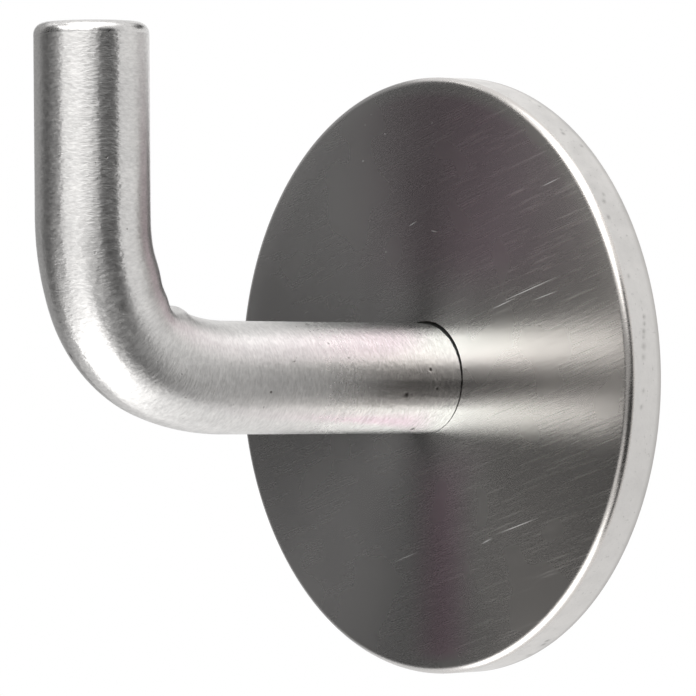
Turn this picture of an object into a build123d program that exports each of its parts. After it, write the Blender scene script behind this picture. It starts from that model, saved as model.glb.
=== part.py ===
from build123d import *
import os
from math import cos, radians, sin, tan

# Coat hook: a round bar bent upward, welded from behind into a round wall plate.
# Millimetres. The origin is the centre of the plate's rear face, on the wall.
# +Y points into the wall, the arm runs out along -Y, the leg stands up along +Z.

# Round bar
bar_diameter = 12.0
arm_reach = 50.0            # from the wall to the axis of the upright leg
leg_height = 37.0           # from the axis of the arm to the top of the leg
end_round = 1.25            # rounded edge of the leg's flat top

# The bend is tightest in its middle and eases into the straight runs, as cold bent bar does
tight_bend_radius = 12.0    # both radii are measured on the bar's axis
easing_bend_radius = 24.0
easing_angle = 20.0         # degrees turned at the easing radius, at each end of the bend
full_turn = 90.0            # degrees between arm and leg

# Wall plate
plate_diameter = 65.0
plate_thickness = 4.8
front_edge_round = 0.8
rear_edge_break = 0.3
hole_clearance = 0.24       # all round the bar, on the radius
bar_drop = 0.1              # the bar lies this much below the middle of its hole

# Weld from behind, ground flush with the wall face
weld_depth = 1.8
weld_side_slope = 45.0      # degrees from the bar's axis

# Tapped blind hole for the wall stud, M8 at its tap drill size
thread_minor_diameter = 6.8
thread_major_diameter = 8.0
thread_depth = 20.0
drill_point_angle = 118.0
mouth_chamfer_extra = 0.2   # the mouth is chamfered to this much beyond the thread, on the radius

# Worked out from the values above
bar_radius = bar_diameter / 2
plate_radius = plate_diameter / 2
hole_radius = bar_radius + hole_clearance
thread_minor_radius = thread_minor_diameter / 2
mouth_radius = thread_major_diameter / 2 + mouth_chamfer_extra
turn_eased = radians(easing_angle)
bend_setback = easing_bend_radius + (easing_bend_radius - tight_bend_radius) * (
    sin(turn_eased) - cos(turn_eased)
)                           # from the crossing of the two axes to either end of the bend


def bar_axis():
    """The bar's centreline in the YZ plane, from the wall to the top of the leg."""
    with BuildLine(Plane.YZ) as axis:
        arm = Line((0, 0), (bend_setback - arm_reach, 0))
        ease_in = JernArc(arm @ 1, arm % 1, easing_bend_radius, -easing_angle)
        middle = JernArc(ease_in @ 1, ease_in % 1, tight_bend_radius, 2 * easing_angle - full_turn)
        ease_out = JernArc(middle @ 1, middle % 1, easing_bend_radius, -easing_angle)
        Line(ease_out @ 1, (-arm_reach, leg_height))
    return axis.line


def thread_hole_profile():
    """Half section of the tapped hole, radius along X and depth along Y, closed on the axis."""
    mouth_depth = mouth_radius - thread_minor_radius
    point_depth = thread_minor_radius / tan(radians(drill_point_angle / 2))
    return Polyline(
        (0, 0),
        (mouth_radius, 0),
        (thread_minor_radius, -mouth_depth),
        (thread_minor_radius, -thread_depth),
        (0, -thread_depth - point_depth),
        close=True,
    )


def hook_bar():
    """The bent bar, with its rounded top edge and the tapped hole in its rear end."""
    section = Plane((0, 0, 0), x_dir=(1, 0, 0), z_dir=(0, -1, 0)) * Circle(bar_radius)
    bar = sweep(section, path=bar_axis())
    top_face = bar.faces().sort_by(Axis.Z)[-1]
    bar = fillet(top_face.edges(), end_round)
    return bar - revolve(make_face(thread_hole_profile()), Axis.Y)


def weld_cone():
    """The groove for the weld, round the middle of the hole in the plate."""
    groove_radius = hole_radius + weld_depth * tan(radians(weld_side_slope))
    cone = Cone(groove_radius, hole_radius, weld_depth, align=(Align.CENTER, Align.CENTER, Align.MIN))
    return Pos(0, 0, bar_drop) * Rot(90, 0, 0) * cone


def wall_plate():
    """The turned disc, with its hole and the weld groove open to the rear."""
    disc = Rot(90, 0, 0) * Cylinder(
        plate_radius, plate_thickness, align=(Align.CENTER, Align.CENTER, Align.MIN)
    )
    front_edge = disc.edges().sort_by(Axis.Y)[0]
    disc = fillet(front_edge, front_edge_round)
    rear_edge = disc.edges().sort_by(Axis.Y)[-1]
    disc = chamfer(rear_edge, rear_edge_break)
    hole = Pos(0, 0, bar_drop) * Rot(90, 0, 0) * Cylinder(
        hole_radius, plate_thickness, align=(Align.CENTER, Align.CENTER, Align.MIN)
    )
    return disc - hole - weld_cone()


def rear_weld():
    """Weld metal that fills the groove between plate and bar."""
    bar_passage = Rot(90, 0, 0) * Cylinder(
        bar_radius, plate_thickness, align=(Align.CENTER, Align.CENTER, Align.MIN)
    )
    return weld_cone() - bar_passage


os.makedirs("parts", exist_ok=True)
for name, piece in {
    "hook_bar": hook_bar(),
    "wall_plate": wall_plate(),
    "rear_weld": rear_weld(),
}.items():
    export_step(piece, f"parts/{name}.step")
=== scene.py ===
from math import atan2, cos, degrees, exp, hypot, pi, radians, sin, tan

import bpy
from mathutils import Matrix, Vector


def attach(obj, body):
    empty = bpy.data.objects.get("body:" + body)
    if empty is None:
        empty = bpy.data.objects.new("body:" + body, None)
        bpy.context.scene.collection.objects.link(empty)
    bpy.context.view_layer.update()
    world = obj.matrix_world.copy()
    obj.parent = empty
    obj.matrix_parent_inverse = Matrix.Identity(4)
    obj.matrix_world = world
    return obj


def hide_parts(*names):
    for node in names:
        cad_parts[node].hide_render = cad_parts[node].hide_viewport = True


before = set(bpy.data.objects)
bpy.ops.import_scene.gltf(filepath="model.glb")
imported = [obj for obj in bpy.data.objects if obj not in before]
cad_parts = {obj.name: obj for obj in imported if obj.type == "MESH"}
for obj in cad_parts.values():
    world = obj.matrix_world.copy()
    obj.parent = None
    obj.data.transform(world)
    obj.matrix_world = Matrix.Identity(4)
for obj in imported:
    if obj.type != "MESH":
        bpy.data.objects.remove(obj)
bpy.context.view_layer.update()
scene = bpy.context.scene
scene.view_settings.view_transform = "Standard"

# The studio: a white surround as bright as white paper, soft boxes above and below the front of the hook,
# and grey and dark cards round it, so that the steel has something to show. No camera sees the panels,
# only the metal does, and the nearer ones hide what hangs behind them.
white = (1, 1, 1, 1)
hook_middle = Vector((0, -0.025, 0.002))

world = bpy.data.worlds.new("white_surround")
world.use_nodes = True
world.node_tree.nodes["Background"].inputs["Color"].default_value = white
world.node_tree.nodes["Background"].inputs["Strength"].default_value = 1.0
scene.world = world

# Each panel: azimuth, elevation, width and height in degrees as the hook sees them, brightness, distance.
panels = {
    "top_soft_box": (3, 48.8, 87, 51.4, 3.05, 1.66),
    "overhead_soft_box": (50, 80, 63, 30, 2.65, 1.65),
    "low_soft_box": (-14, -59, 63, 43, 3.05, 1.64),
    "grey_card_in_front": (26, -1, 73, 26, 0.46, 1.62),
    "dark_card_right": (85, -12, 43, 91, 0.0, 1.6),
    "dark_card_left": (-36.4, 11, 49.4, 73, 0.025, 1.58),
    "dark_card_low": (49.5, -17.5, 31, 31, 0.04, 1.56),
    "grey_card_far_left": (-86, 6, 54, 64, 0.41, 1.54),
    "dark_card_behind": (185, 30, 37, 17, 0.06, 1.52),
    "grey_card_high": (-36, 55, 30, 16, 0.6, 1.5),
    "dark_card_far_left": (-64, -13, 16, 26, 0.08, 1.53),
    "grey_card_left": (-58, 12, 12, 20, 0.2, 1.51),
}
for name, (azimuth, elevation, wide, tall, brightness, distance) in panels.items():
    a, e = radians(azimuth), radians(elevation)
    toward = Vector((sin(a) * cos(e), -cos(a) * cos(e), sin(e)))
    bpy.ops.object.select_all(action="DESELECT")
    bpy.ops.mesh.primitive_plane_add(size=1, location=hook_middle + toward * distance)
    panel = bpy.context.object
    panel.name = name
    panel.rotation_euler = toward.to_track_quat("Z", "Y").to_euler()
    panel.scale = (2 * distance * tan(radians(wide / 2)), 2 * distance * tan(radians(tall / 2)), 1)
    finish = bpy.data.materials.new(name)
    finish.use_nodes = True
    nodes = finish.node_tree.nodes
    nodes.remove(nodes["Principled BSDF"])
    glow = nodes.new("ShaderNodeEmission")
    glow.inputs["Color"].default_value = white
    glow.inputs["Strength"].default_value = brightness
    finish.node_tree.links.new(glow.outputs["Emission"], nodes["Material Output"].inputs["Surface"])
    if brightness < 1:          # a card only darkens a reflection, so it isn't sampled as a lamp
        finish.cycles.emission_sampling = "NONE"
    panel.data.materials.append(finish)
    panel.visible_camera = False
    panel.visible_diffuse = False
    panel.visible_shadow = False

# The floor: pale and far below, it only lightens the hook from underneath.
floor_size, floor_height = 8, -1.75
floor_colour, floor_roughness = (0.93, 0.93, 0.93, 1), 0.9
bpy.ops.object.select_all(action="DESELECT")
bpy.ops.mesh.primitive_plane_add(size=floor_size, location=(0, 0, floor_height))
ground = bpy.context.object
ground.name = "pale_floor"
ground_finish = bpy.data.materials.new("pale_floor")
ground_finish.use_nodes = True
ground_paint = ground_finish.node_tree.nodes["Principled BSDF"]
ground_paint.inputs["Base Color"].default_value = floor_colour
ground_paint.inputs["Roughness"].default_value = floor_roughness
ground.data.materials.append(ground_finish)

# The camera: level with the hook and a little more than half way round to its right side.
azimuth, elevation, roll = radians(50.189), radians(0.119), radians(0.453)
sideways, upward, distance = -0.012147, 0.003076, 0.55633       # from the frame's origin, as the camera looks
sensor_width, focal_length = 36, 262.47                         # in mm
toward = Vector((sin(azimuth) * cos(elevation), -cos(azimuth) * cos(elevation), sin(elevation)))
right = Vector((cos(azimuth), sin(azimuth), 0))
up = toward.cross(right)
frame_x = right * cos(roll) - up * sin(roll)
frame_y = right * sin(roll) + up * cos(roll)
camera = bpy.data.objects.new("camera", bpy.data.cameras.new("camera"))
scene.collection.objects.link(camera)
camera.location = right * sideways + up * upward + toward * distance
camera.rotation_euler = Matrix((frame_x, frame_y, toward)).transposed().to_euler()
camera.data.sensor_width = sensor_width
camera.data.lens = focal_length
camera.data.clip_start = 0.01
scene.camera = camera

# The hook bar: 12 mm round stainless bar, cold bent upward and linished across its length, with a rounded
# top edge and an M8 thread tapped into its turned rear end. Sizes are in metres.
bar_radius = 0.006
arm_reach = 0.050                   # from the wall to the leg's axis
leg_height = 0.037                  # from the arm's axis to the top
end_round = 0.00125
tight_bend, eased_bend, eased_turn = 0.012, 0.024, radians(20)
setback = eased_bend + (eased_bend - tight_bend) * (sin(eased_turn) - cos(eased_turn))
arm_run = arm_reach - setback       # the straight part, from the wall to the start of the bend
leg_start, leg_end = setback, leg_height - end_round
mouth_radius, tap_drill_radius, thread_radius = 0.0042, 0.0034, 0.004
mouth_depth = mouth_radius - tap_drill_radius
thread_pitch, thread_length, thread_runout = 0.00125, 0.0165, 0.001
hole_depth, drill_point = 0.020, radians(118)
hole_end = hole_depth + tap_drill_radius / tan(drill_point / 2)
plate_thickness = 0.0048
tiny = 0.000001                     # places nearer to each other than this count as one
sharp_from = radians(35)            # edges sharper than this stay sharp


def start_ring(name, points, radius, middle=(0, 0, 0)):
    """A new piece that is only a ring of points round the arm's direction, selected and open for editing."""
    bpy.ops.object.select_all(action="DESELECT")
    bpy.ops.mesh.primitive_circle_add(vertices=points, radius=radius, location=middle, rotation=(pi / 2, 0, 0))
    piece = bpy.context.object
    piece.name = name
    bpy.ops.object.transform_apply(location=True, rotation=True, scale=True)
    bpy.ops.object.mode_set(mode="EDIT")
    bpy.ops.mesh.select_all(action="SELECT")
    return piece


def extrude_rings(radius_now, middle_now, rings):
    """Extrude the selected ring on through a row of rings, each given by its radius and its middle."""
    for ring_radius, middle in rings:
        step = [new - old for new, old in zip(middle, middle_now)]
        bpy.ops.mesh.extrude_region_move(TRANSFORM_OT_translate={"value": step})
        bpy.ops.transform.resize(value=[ring_radius / radius_now] * 3, center_override=middle)
        radius_now, middle_now = ring_radius, middle


def close_skin():
    """Join the points that meet, turn every face outward and leave editing."""
    bpy.ops.mesh.select_all(action="SELECT")
    bpy.ops.mesh.remove_doubles(threshold=tiny)
    bpy.ops.mesh.normals_make_consistent(inside=False)
    bpy.ops.object.mode_set(mode="OBJECT")


# The arm, the eased bend in three runs, the leg, the rounded top edge and the flat top.
points_round, arm_steps, leg_steps = 96, 60, 48
bar = start_ring("finished_hook_bar", points_round, bar_radius)
for step in range(arm_steps):
    bpy.ops.mesh.extrude_region_move(TRANSFORM_OT_translate={"value": (0, -arm_run / arm_steps, 0)})
bend_runs = [(eased_bend, eased_turn, 20), (tight_bend, pi / 2 - 2 * eased_turn, 60), (eased_bend, eased_turn, 20)]
centre, turned, length_so_far = Vector((0, -arm_run, eased_bend)), 0, arm_run
bend_places = []        # for each run: its centre, radius, the turn before it, its turn, the length before it
for bend, turn, steps in bend_runs:
    bpy.ops.mesh.spin(steps=steps, angle=turn, center=centre, axis=(1, 0, 0))
    bend_places.append((centre, bend, turned, turn, length_so_far))
    turned += turn
    length_so_far += bend * turn
    outward = Vector((0, -sin(turned), -cos(turned)))
    centre = centre + outward * bend - outward * (tight_bend if bend == eased_bend else eased_bend)
for step in range(leg_steps):
    bpy.ops.mesh.extrude_region_move(TRANSFORM_OT_translate={"value": (0, 0, (leg_end - leg_start) / leg_steps)})
top_rings = [
    (bar_radius - end_round * (1 - cos(radians(a))), leg_end + end_round * sin(radians(a))) for a in range(9, 91, 9)
]
top_rings += [(0.0038, leg_height), (0.0024, leg_height), (0.0012, leg_height)]
extrude_rings(bar_radius, (0, -arm_reach, leg_end), [(radius, (0, -arm_reach, height)) for radius, height in top_rings])
bpy.ops.mesh.edge_face_add()
bpy.ops.mesh.select_all(action="DESELECT")
bpy.ops.object.mode_set(mode="OBJECT")

# The rear end, and the hole in it: its chamfered mouth, its wall, ringed ten times a pitch, and the drill's point.
for vertex in bar.data.vertices:
    vertex.select = vertex.co.y > -tiny
bpy.ops.object.mode_set(mode="EDIT")
bpy.ops.mesh.select_mode(type="VERT")
mouth_steps, wall_steps, tip_radius = 8, 129, 0.0000001
mouth_step, wall_step = mouth_depth / mouth_steps, thread_pitch / 10
hole_rings = [(mouth_radius - mouth_step * k, mouth_step * k) for k in range(mouth_steps + 1)]
hole_rings += [(tap_drill_radius, mouth_depth + wall_step * k) for k in range(1, wall_steps + 1)]
hole_rings += [(tap_drill_radius, hole_depth), (tip_radius, hole_end)]
extrude_rings(bar_radius, (0, 0, 0), [(radius, (0, -depth, 0)) for radius, depth in hole_rings])
close_skin()


def place_on_bar(point):
    """Distance along the bar from the wall, how far the bar has turned there, and the offset to its inner side."""
    if point.y >= -arm_run - tiny:
        return -point.y, 0.0, point.z
    if point.z >= leg_start - tiny:
        up_leg = length_so_far + min(point.z, leg_end) - leg_start
        if point.z > leg_end:
            from_round = hypot(point.x, point.y + arm_reach) - bar_radius + end_round
            up_leg += end_round * atan2(point.z - leg_end, from_round)
        return up_leg, pi / 2, point.y + arm_reach
    for centre, bend, turned, turn, length_before in bend_places:
        from_centre = point - centre
        turn_here = atan2(-from_centre.y, -from_centre.z)
        if turn_here <= turned + turn + 10 * tiny:
            break
    return length_before + bend * (turn_here - turned), turn_here, bend - hypot(from_centre.y, from_centre.z)


# The tapped thread is cut into the wall of the hole, and runs out before its bottom.
groove_half_width, groove_flank = 0.375, 0.3125         # in pitches
bar_mesh = bar.data
bore_vertices = {
    v.index for v in bar_mesh.vertices if hypot(v.co.x, v.co.z) < mouth_radius + tiny and -v.co.y < hole_end + tiny
}
for index in bore_vertices:
    point = bar_mesh.vertices[index].co
    around = atan2(point.z, point.x)
    now = hypot(point.x, point.z)
    if now < tap_drill_radius / 2:                      # the drill's point has no thread
        continue
    phase = (point.y / thread_pitch + around / (2 * pi)) % 1
    groove = min(1, max(0, (groove_half_width - abs(phase - 0.5)) / groove_flank))
    fade = min(1, max(0, (thread_length + point.y) / thread_runout))
    wanted = max(now, tap_drill_radius + (thread_radius - tap_drill_radius) * groove * fade)
    point.x *= wanted / now
    point.z *= wanted / now

# The way round and along the bar is kept on the mesh, for the marks that follow it round the bend.
along_bar = bar_mesh.attributes.new("along_bar", "FLOAT_VECTOR", "POINT")
spots = []
for vertex in bar_mesh.vertices:
    length_here, turn_here, inner = place_on_bar(vertex.co)
    spots.append((length_here, atan2(inner, vertex.co.x)))
    along_bar.data[vertex.index].vector = (length_here, vertex.co.x, inner)

# The bar's map: its skin unrolled at the bottom, the hole's skin above it, and both flat ends at the top.
bar_length = length_so_far + leg_end - leg_start + end_round * pi / 2
skin_per_radian = 0.09                                  # how much of the map's height a radian round the bar takes
bore_low, bore_per_radian, bore_length = 0.62, 0.03, 0.025
ends_up, rear_end_across, top_end_across, end_scale = 0.92, 0.1, 0.3, 12
bar_map = bar_mesh.uv_layers.new(name="bar_map")
for face in bar_mesh.polygons:
    corners = [spots[v] for v in face.vertices]
    crosses = max(c[1] for c in corners) - min(c[1] for c in corners) > pi
    inside = all(v in bore_vertices for v in face.vertices)
    rear_end = abs(face.normal.y) > 0.999 and face.center.y > -10 * tiny
    top_end = abs(face.normal.z) > 0.999 and face.center.z > leg_height - 10 * tiny
    for loop, (length_here, around) in zip(face.loop_indices, corners):
        if crosses and around < 0:
            around += 2 * pi
        point = bar_mesh.vertices[bar_mesh.loops[loop].vertex_index].co
        if rear_end:
            spot = (rear_end_across + point.x * end_scale, ends_up + point.z * end_scale)
        elif top_end:
            spot = (top_end_across + point.x * end_scale, ends_up + (point.y + arm_reach) * end_scale)
        elif inside:
            spot = (length_here / bore_length, bore_low + (around + pi) * bore_per_radian)
        else:
            spot = (length_here / bar_length, (around + pi) * skin_per_radian)
        bar_map.data[loop].uv = spot

# Bending the bar cold left the inner side of the bend uneven: fuller toward the leg, creased in the middle, and with
# a small nub beside the crease. Each place: how far along it is, how many degrees round, its spread along and round,
# its height, and how flat its top is. The arm isn't quite square on the plate: it sits low in its hole and rises a
# little on its way to the bend, and the bend brings the leg back to its place.
uneven_places = [
    (0.0534, 60, 0.0020, 35, 0.00018, 2),
    (0.0464, 70, 0.0016, 35, -0.00055, 2),
    (0.0427, 74, 0.0012, 18, 0.0002, 4),
]
low_at_plate, high_at_bend = -0.0003, 0.00014
highest_at, back_at, back_over = 0.0355, 0.072, 0.018
for vertex in bar_mesh.vertices:
    if vertex.index in bore_vertices:
        continue
    length_here, turn_here, inner = place_on_bar(vertex.co)
    if length_here < plate_thickness:
        lift = low_at_plate * length_here / plate_thickness
    elif length_here < highest_at:
        way_up = (length_here - plate_thickness) / (highest_at - plate_thickness)
        lift = low_at_plate + (high_at_bend - low_at_plate) * way_up
    else:
        lift = high_at_bend * min(1, max(0, (back_at - length_here) / back_over))
    around = atan2(inner, vertex.co.x)
    vertex.co.z += lift
    if turn_here <= 0 or turn_here >= pi / 2 or inner < 0:
        continue
    rise = 0
    for at_length, at_degrees, spread_along, spread_round, tall, flat in uneven_places:
        along_part = exp(-(abs(length_here - at_length) / spread_along) ** flat)
        rise += tall * along_part * exp(-(((degrees(around) - at_degrees) / spread_round) ** 2))
    inward = Vector((0, sin(turn_here), cos(turn_here)))
    vertex.co += (Vector((1, 0, 0)) * cos(around) + inward * sin(around)) * rise
bpy.ops.object.shade_smooth_by_angle(angle=sharp_from)


class SteelFinish:
    """A steel material, with short ways to build it. They take numbers, colours and the outputs of other nodes."""

    def __init__(self, name, anisotropic=0.0, grain_map=None):
        self.material = bpy.data.materials.new(name)
        self.material.use_nodes = True
        self.tree = self.material.node_tree
        self.shader = self.tree.nodes["Principled BSDF"]
        self.shader.inputs["Metallic"].default_value = 1.0
        self.shader.inputs["Anisotropic"].default_value = anisotropic
        if grain_map:
            self.give("Tangent", self.add("Tangent", {}, direction_type="UV_MAP", uv_map=grain_map))

    def add(self, kind, inputs, output=0, **settings):
        """A new node with its inputs linked or set. Returns one of its outputs."""
        node = self.tree.nodes.new("ShaderNode" + kind)
        for key, setting in settings.items():
            setattr(node, key, setting)
        for key, source in inputs.items():
            if isinstance(source, bpy.types.NodeSocket):
                self.tree.links.new(source, node.inputs[key])
            else:
                node.inputs[key].default_value = source
        return node.outputs[output]

    def give(self, shader_input, source):
        """Let an output decide one of the shader's inputs."""
        self.tree.links.new(source, self.shader.inputs[shader_input])

    def place(self):
        """Where on the piece a spot is."""
        return self.add("TexCoord", {}, "Object")

    def parts(self, place):
        """The three parts of a place."""
        return self.add("SeparateXYZ", {0: place}).node.outputs

    def noise(self, place, scale=1.0, detail=2.0, roughness=0.5):
        """Soft random patches, about so many to a metre."""
        return self.add("TexNoise", {"Vector": place, "Scale": scale, "Detail": detail, "Roughness": roughness}, "Fac")

    def math(self, operation, *values):
        """A sum with plain values."""
        return self.add("Math", dict(enumerate(values)), operation=operation)

    def vector(self, operation, *values):
        """A sum with places or colours. A length or a distance comes back as a plain value."""
        output = "Value" if operation in ("DISTANCE", "LENGTH") else "Vector"
        return self.add("VectorMath", dict(enumerate(values)), output, operation=operation)

    def ramp(self, value, low, high, at_low, at_high, smooth=False):
        """Goes from at_low to at_high while the value goes from low to high, and stays there beyond them."""
        kind = "SMOOTHSTEP" if smooth else "LINEAR"
        return self.add("MapRange", {0: value, 1: low, 2: high, 3: at_low, 4: at_high}, interpolation_type=kind)

    def tones(self, value, low, low_colour, high, high_colour):
        """A colour that goes from one to the other while the value goes from low to high."""
        tone = self.add("ValToRGB", {"Fac": value})
        for element, position, colour in zip(tone.node.color_ramp.elements, (low, high), (low_colour, high_colour)):
            element.position, element.color = position, (*colour, 1)
        return tone

    def mix(self, share, first, second):
        """A colour that lies between two, at a share of the way from the first to the second."""
        first, second = ((*c, 1) if isinstance(c, tuple) else c for c in (first, second))
        return self.add("Mix", {0: share, 6: first, 7: second}, 2, data_type="RGBA")

    def relief(self, height, depth):
        """Raise and sink the surface's look by this depth."""
        self.give("Normal", self.add("Bump", {"Height": height, "Strength": 1.0, "Distance": depth}))


# The bar's larger pits: where they are along the bar, across it and toward its inner side, and their size.
pit_places = [
    (0.0125, 0.00574, -0.00175, 0.0004), (0.0092, 0.0059, 0.0009, 0.00028), (0.0083, 0.0059, -0.0011, 0.00025),
    (0.0088, 0.0024, -0.0055, 0.0004), (0.0488, -0.00165, -0.00577, 0.00035), (0.0312, 0.0058, -0.0015, 0.0002),
    (0.024, -0.0051, 0.0031, 0.0003),
]


def bar_steel(name, anisotropic, rough, marks_along, marks_round, relief_depth):
    """Stainless bar steel, mottled and pitted, with so many linishing marks a metre along the bar and round it."""
    steel = SteelFinish(name, anisotropic, "bar_map")
    along = steel.add("Attribute", {}, "Vector", attribute_name="along_bar")
    # short marks left by the belt, close together along the bar
    marks = steel.noise(steel.vector("MULTIPLY", along, (marks_along, marks_round, marks_round)), 1.0, 1.5, 0.55)
    # the uneven skin of the steel under them, and wider clouds in its colour
    skin = steel.noise(steel.vector("MULTIPLY", along, (1900, 1500, 1500)), 1.0, 2.0, 0.6)
    clouds = steel.noise(steel.vector("MULTIPLY", along, (700, 260, 260)), 1.0, 3.0)
    clouded = steel.tones(clouds, 0.35, (0.6, 0.59, 0.58), 0.65, (0.65, 0.638, 0.625))
    streaked = steel.vector("MULTIPLY", clouded, steel.ramp(marks, 0.3, 0.7, 0.88, 1.08))
    # a few pits and specks between them, sunk by the relief and painted dark at the bottom as shade in their hollows
    pits_and_their_shade = steel.ramp(steel.noise(along, 1500.0, 1.0), 0.76, 0.82, 0.0, 0.5)
    for *pit_place, wide in pit_places:
        away = steel.vector("DISTANCE", along, pit_place)
        pits_and_their_shade = steel.math("MAXIMUM", pits_and_their_shade, steel.ramp(away, wide * 0.3, wide, 0.9, 0.0))
    pitted = steel.mix(pits_and_their_shade, streaked, (0.07, 0.06, 0.055))
    # toward the plate the steel is smoother, because the belt bit less there; at the arm's top and bottom there its
    # colour is painted cooler, a painted tone for the highlights that reflect the plate's painted violet
    from_wall, across, inner = steel.parts(along)
    near_plate = steel.ramp(from_wall, 0.006, 0.030, 1.0, 0.0, smooth=True)
    top_and_bottom = steel.ramp(steel.math("ABSOLUTE", inner), 0.002, 0.0035, 0.0, 1.0)
    painted_cool_highlights = steel.mix(steel.math("MULTIPLY", near_plate, top_and_bottom), (1, 1, 1), (1.0, 1.045, 1.03))
    steel.give("Base Color", steel.vector("MULTIPLY", pitted, painted_cool_highlights))
    belt = steel.ramp(from_wall, 0.005, 0.030, rough * 0.46, rough)
    steel.give("Roughness", steel.math("MULTIPLY", belt, steel.ramp(skin, 0.3, 0.7, 0.9, 1.1)))
    marks_and_skin = steel.math("MULTIPLY_ADD", skin, 0.35, marks)
    steel.relief(steel.math("SUBTRACT", marks_and_skin, pits_and_their_shade), relief_depth)
    return steel.material


def dull_steel(name, colour, dark_colour, rough, blotches_a_metre, specks_a_metre, relief_depth):
    """Steel left as it was cut, turned or ground: mottled and specked, and darker where the mesh's darkening attribute
    says so: on the rim, painted shade in its dents and pits and a rear edge painted darker.
    """
    steel = SteelFinish(name)
    blotches = steel.noise(steel.place(), blotches_a_metre, 4.0, 0.6)
    specks = steel.noise(steel.place(), specks_a_metre, 2.0, 0.6)
    mottled = steel.tones(blotches, 0.32, [c * 0.9 for c in colour], 0.6, colour)
    # painted shade in the rim's dents and pits and its darker rear edge, kept on the mesh
    darkening = steel.add("Attribute", {}, "Fac", attribute_name="rim_darkening")
    marked = steel.math("MAXIMUM", darkening, steel.ramp(specks, 0.64, 0.74, 0.0, 0.3))
    steel.give("Base Color", steel.mix(marked, mottled, dark_colour))
    steel.give("Roughness", steel.ramp(blotches, 0.3, 0.7, rough - 0.06, rough + 0.06))
    steel.relief(specks, relief_depth)
    return steel.material


bar_mesh.materials.append(bar_steel("linished_bar", 0.92, 0.34, 4300, 1600, 0.000036))
bar_mesh.materials.append(bar_steel("deburred_bar_edge", 0.2, 0.27, 3000, 2400, 0.00001))
turned_colour, turned_worn = (0.58, 0.57, 0.56), (0.3, 0.29, 0.28)
bar_mesh.materials.append(dull_steel("turned_bar_end", turned_colour, turned_worn, 0.3, 700, 3000, 0.000008))
for face in bar_mesh.polygons:
    if face.center.z > leg_end:
        face.material_index = 1
    elif face.center.y > -10 * tiny or all(v in bore_vertices for v in face.vertices):
        face.material_index = 2
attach(bar, "root")
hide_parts("hook_bar")

# The wall plate: a 65 mm disc turned from 4.8 mm stainless sheet, its front edge rounded over. The face has the sheen
# of a turned face and slanting polishing lines over it, and the rim is dull from the cutting, nicked here and there.
# Its hole runs a little downward to the front, and opens at the rear into the groove where the bar is welded in.
plate_radius = 0.0325
front_round, rear_break = 0.0008, 0.0003
hole_radius, bar_drop = 0.00624, 0.0001
front_hole_radius, front_of_hole = 0.00614, -0.00017
weld_depth = 0.0018
groove_radius = hole_radius + weld_depth
rear_radius = plate_radius - rear_break

rim_steps = 18
rim_length = plate_thickness - front_round - rear_break
rim_rings = [(plate_radius, rear_break + rim_length * k / rim_steps) for k in range(rim_steps + 1)]
rim_rings += [
    (plate_radius - front_round * (1 - cos(radians(a))), plate_thickness - front_round + front_round * sin(radians(a)))
    for a in range(10, 91, 10)
]
rim_rings += [(radius, plate_thickness) for radius in (0.029, 0.024, 0.018, 0.012)]
plate_points = 1024
plate = start_ring("finished_wall_plate", plate_points, rear_radius)
extrude_rings(rear_radius, (0, 0, 0), [(radius, (0, -depth, 0)) for radius, depth in rim_rings] + [
    (front_hole_radius, (0, -plate_thickness, front_of_hole)),
    (hole_radius, (0, -weld_depth, bar_drop)),
    (groove_radius, (0, 0, bar_drop)),
    (rear_radius, (0, 0, 0)),
])
close_skin()
bpy.ops.object.shade_smooth_by_angle(angle=sharp_from)

# The plate was turned, so its map follows how far a spot is along the turned outline and how far round.
front_edge = plate_radius - front_round
rim_start = front_edge + front_round * pi / 2
rim_end = rim_start + rim_length
map_length, map_height = 0.075, 6.3                     # in metres along the outline, and in radians round it
in_hole_radius, in_hole_gap, in_hole_share = 0.0085, 0.001, 0.5
plate_mesh = plate.data
plate_map = plate_mesh.uv_layers.new(name="plate_map")


def along_outline(point):
    """Distance from the plate's axis along the turned outline: face, rounded edge, rim, rear."""
    out, back = hypot(point.x, point.z), -point.y
    if back > plate_thickness - tiny and out < front_edge + tiny:
        return out
    if back > plate_thickness - front_round + tiny and out > front_edge:
        return front_edge + front_round * atan2(out - front_edge, back - plate_thickness + front_round)
    if out > plate_radius - tiny:
        return rim_start + plate_thickness - front_round - back
    return rim_end + plate_radius - out


for face in plate_mesh.polygons:
    points = [plate_mesh.vertices[v].co for v in face.vertices]
    rounds = [atan2(p.z, p.x) for p in points]
    crosses = max(rounds) - min(rounds) > pi
    in_hole = abs(face.normal.y) < 0.9 and max(hypot(p.x, p.z) for p in points) < in_hole_radius
    for loop, point, around in zip(face.loop_indices, points, rounds):
        if crosses and around < 0:
            around += 2 * pi
        if in_hole:
            outline = rim_end + plate_radius + in_hole_gap + in_hole_share * (plate_thickness + point.y)
        else:
            outline = along_outline(point)
        plate_map.data[loop].uv = (outline / map_length, (around + pi) / map_height)
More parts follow.
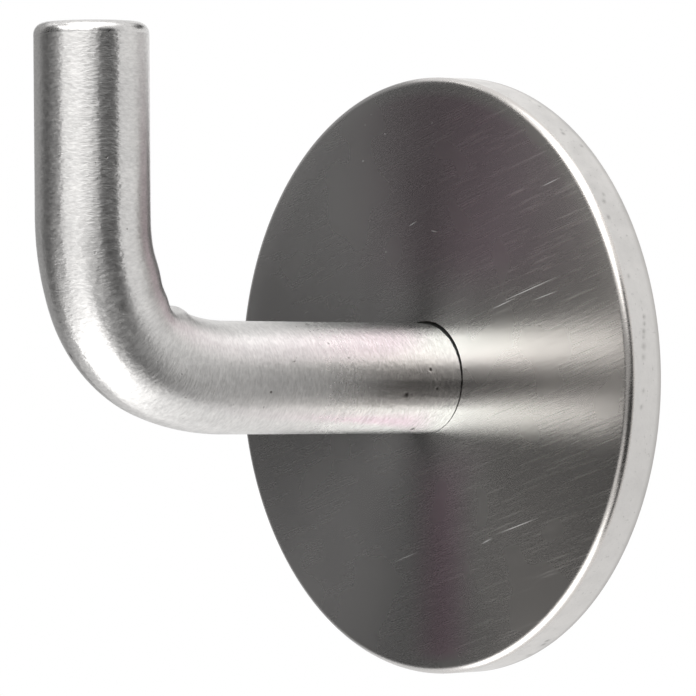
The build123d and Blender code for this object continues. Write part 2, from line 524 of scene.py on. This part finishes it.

# Dents and pits that the rim took in use: degrees round the plate, then mm from the wall, size, depth, and how dark
# their painted shade is.
# The rim is also painted darker along its rear edge all round.
rim_marks = [
    (65.0, 1.15, 0.42, 0.14, 0.0), (62.5, 1.3, 0.2, 0.0, 0.6), (52.4, 2.3, 0.26, 0.02, 0.7),
    (53.6, 2.1, 0.2, 0.0, 0.5), (48.6, 1.2, 0.2, 0.02, 0.6), (34.4, 2.9, 0.24, 0.03, 0.6),
    (36.0, 2.5, 0.22, 0.02, 0.5), (30.8, 3.3, 0.24, 0.03, 0.6), (18.7, 3.2, 0.24, 0.02, 0.45),
    (10.9, 2.1, 0.22, 0.03, 0.6), (9.6, 2.2, 0.2, 0.03, 0.6), (8.2, 2.4, 0.24, 0.03, 0.6),
    (7.1, 2.5, 0.2, 0.03, 0.5), (5.4, 2.6, 0.34, 0.02, 0.45), (3.4, 2.75, 0.3, 0.02, 0.4),
    (-2.8, 2.8, 0.24, 0.02, 0.4), (-5.8, 3.0, 0.22, 0.03, 0.5), (-61.0, 1.5, 0.3, 0.04, 0.8),
    (-62.6, 1.3, 0.3, 0.04, 0.8), (-67.9, 0.9, 0.36, 0.03, 0.45), (118.0, 1.6, 0.3, 0.05, 0.3),
    (143.0, 2.7, 0.24, 0.03, 0.5), (171.0, 0.9, 0.34, 0.06, 0.2), (-104.0, 2.2, 0.26, 0.03, 0.5),
    (-131.0, 1.4, 0.3, 0.05, 0.4), (-158.0, 3.1, 0.22, 0.02, 0.6),
]
rear_edge_dark, rear_edge_dark_width = 0.38, 0.0006
mark_squeeze, mark_reach = 0.8, 6           # marks are narrower across the rim; beyond the reach they have no effect
rim_darkening = plate_mesh.attributes.new("rim_darkening", "FLOAT", "POINT")
for vertex in plate_mesh.vertices:
    out, back = hypot(vertex.co.x, vertex.co.z), -vertex.co.y
    if out < plate_radius - 100 * tiny or back > plate_thickness - front_round + tiny:
        continue
    around = atan2(vertex.co.z, vertex.co.x)
    # painted darker along the rear edge, and painted shade in the dents and pits
    darkness = rear_edge_dark * max(0, 1 - (back - rear_break) / rear_edge_dark_width)
    pushed_in = 0
    for turn, from_wall, wide, deep, dark in rim_marks:
        across = (around - radians(turn)) * plate_radius * 1000
        near = (across / wide) ** 2 + ((back * 1000 - from_wall) / (wide * mark_squeeze)) ** 2
        if near < mark_reach:
            darkness = max(darkness, dark * exp(-near))
            pushed_in = max(pushed_in, deep * exp(-near) / 1000)
    rim_darkening.data[vertex.index].value = darkness
    vertex.co.x *= 1 - pushed_in / out
    vertex.co.z *= 1 - pushed_in / out

# The face: turned, then polished along slanting lines, and scratched more and more toward its right side.
line_slant = radians(16)
face_steel = SteelFinish("brushed_plate_face", 0.8, "plate_map")
place = face_steel.place()
slanted = face_steel.add("Mapping", {"Vector": place, "Rotation": (0, line_slant, 0)})
across, depth, high = face_steel.parts(place)
# close, wavering polishing lines that run up to the right, cut deeper where the face is worn
grain = face_steel.noise(face_steel.vector("MULTIPLY", slanted, (380, 2000, 4600)), 1.0, 1.2, 0.5)
worn_side = face_steel.ramp(across, 0.005, 0.027, 0.04, 1.0, smooth=True)
# single scratches among them, longer and lighter
lines = face_steel.noise(face_steel.vector("MULTIPLY", slanted, (170, 900, 6500)), 1.0, 0.0)
lined_side = face_steel.ramp(across, -0.008, 0.018, 0.08, 1.0, smooth=True)
scratched = face_steel.math("MULTIPLY", face_steel.ramp(lines, 0.66, 0.78, 0.0, 0.045), lined_side)
# the scratches and specks that stand out, rougher than the face and painted light as a glint: where they are, half
# their length and width, and their slant
face_marks = [
    (0.0170, 0.0092, 0.0054, 0.00007, -16), (0.0128, 0.0077, 0.0026, 0.00006, -17),
    (0.0195, 0.0085, 0.0024, 0.00006, -14), (-0.0020, 0.0166, 0.0008, 0.00007, -20),
    (0.0016, 0.0157, 0.0006, 0.00007, 8), (0.0150, -0.0160, 0.0040, 0.00006, -16),
    (0.0098, -0.0178, 0.0012, 0.00007, -20), (-0.0036, -0.0199, 0.0024, 0.00005, -17),
    (0.0205, 0.0205, 0.0018, 0.00005, -16), (-0.00997, 0.0277, 0.00012, 0.00012, 0),
    (-0.00657, 0.02658, 0.00012, 0.0001, 0), (0.00136, 0.02749, 0.00009, 0.00013, 0),
    (-0.01037, 0.02373, 0.00016, 0.0001, 0), (-0.00655, 0.0136, 0.00018, 0.00009, -30),
    (-0.0089, 0.0288, 0.0002, 0.00008, 0),
]
marks_and_glints = 0.0
for x, z, half_long, half_wide, slant in face_marks:
    in_mark = face_steel.add("Mapping", {
        "Vector": place, "Location": (x, -plate_thickness, z),
        "Rotation": (0, radians(slant), 0), "Scale": (half_long, 1, half_wide),
    }, vector_type="TEXTURE")
    mark = face_steel.ramp(face_steel.vector("LENGTH", in_mark), 0.4, 1.0, 1.0, 0.0)
    marks_and_glints = face_steel.math("MAXIMUM", marks_and_glints, mark)
# both kinds of scratch are rougher than the slightly cloudy face
clouds = face_steel.noise(place, 140.0, 1.0, 0.5)
scuffed = face_steel.math("MULTIPLY_ADD", marks_and_glints, 0.16, scratched)
face_steel.give("Roughness", face_steel.math("ADD", face_steel.ramp(clouds, 0.3, 0.7, 0.268, 0.276), scuffed))
# a painted reflection: a violet tint in a band up the middle of the face, narrow below the bar and wide above it, clear
# of bar and rim, and darker above the bar
band_middle = face_steel.ramp(high, -0.012, 0.010, 0.0024, 0.0085)
band_width = face_steel.ramp(high, -0.012, 0.010, 0.0065, 0.026)
off_band = face_steel.math("ABSOLUTE", face_steel.math("SUBTRACT", across, band_middle))
in_band = face_steel.ramp(face_steel.math("DIVIDE", off_band, band_width), 0.0, 1.0, 1.0, 0.0, smooth=True)
clear_of_bar = face_steel.ramp(face_steel.math("ABSOLUTE", high), 0.006, 0.014, 0.0, 1.0, smooth=True)
clear_of_rim = face_steel.ramp(face_steel.vector("LENGTH", place), 0.0305, 0.0318, 1.0, 0.0)
painted_reflection_share = face_steel.math("MULTIPLY", face_steel.math("MULTIPLY", in_band, clear_of_bar), clear_of_rim)
above_bar = face_steel.ramp(high, -0.010, 0.010, 0.0, 1.0)
painted_reflection_colour = face_steel.mix(above_bar, (0.61, 0.475, 0.53), (0.515, 0.42, 0.455))
# the colour: clouded, warmer on the scratched side, with the painted violet reflection in the band, and light in the
# marks, where a glint is painted
clouded = face_steel.tones(clouds, 0.3, (0.6, 0.586, 0.578), 0.7, (0.62, 0.605, 0.597))
warmed = face_steel.mix(lined_side, clouded, (0.615, 0.587, 0.56))
with_painted_reflection = face_steel.mix(painted_reflection_share, warmed, painted_reflection_colour)
face_steel.give("Base Color", face_steel.mix(marks_and_glints, with_painted_reflection, (0.78, 0.77, 0.76)))
face_steel.relief(face_steel.math("MULTIPLY", grain, worn_side), 0.000005)

plate_mesh.materials.append(face_steel.material)
rim_colour, rim_dark_colour = (0.68, 0.663, 0.645), (0.2, 0.19, 0.18)
plate_mesh.materials.append(dull_steel("cut_plate_rim", rim_colour, rim_dark_colour, 0.42, 480, 2600, 0.000012))
back_colour, back_worn = (0.52, 0.51, 0.5), (0.3, 0.29, 0.28)
plate_mesh.materials.append(dull_steel("ground_plate_back", back_colour, back_worn, 0.38, 140, 1500, 0.00001))
for face in plate_mesh.polygons:
    out, back = hypot(face.center.x, face.center.z), -face.center.y
    if face.normal.y > 0.9 or out < groove_radius and back < plate_thickness - 10 * tiny:
        face.material_index = 2
    elif out > rear_radius and back < plate_thickness - front_round:
        face.material_index = 1
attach(plate, "root")
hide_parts("wall_plate")

# The rear weld: a ring of weld metal between plate and bar, ground flush with the wall face.
# It fills the groove in the plate, and lies round the bar, which is a little below the groove's middle.
ring_steps = 6
weld = start_ring("finished_rear_weld", points_round, groove_radius, (0, 0, bar_drop))
weld_rings = [
    (groove_radius + (bar_radius - groove_radius) * k / ring_steps, (0, 0, bar_drop * (1 - k / ring_steps)))
    for k in range(1, ring_steps + 1)
]
extrude_rings(groove_radius, (0, 0, bar_drop), weld_rings + [
    (bar_radius, (0, -weld_depth, 0)),
    (hole_radius, (0, -weld_depth, bar_drop)),
    (groove_radius, (0, 0, bar_drop)),
])
close_skin()
bpy.ops.object.shade_smooth_by_angle(angle=sharp_from)
weld_colour, weld_worn = (0.5, 0.475, 0.44), (0.26, 0.22, 0.2)
weld.data.materials.append(dull_steel("ground_weld", weld_colour, weld_worn, 0.4, 600, 2400, 0.00002))
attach(weld, "root")
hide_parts("rear_weld")
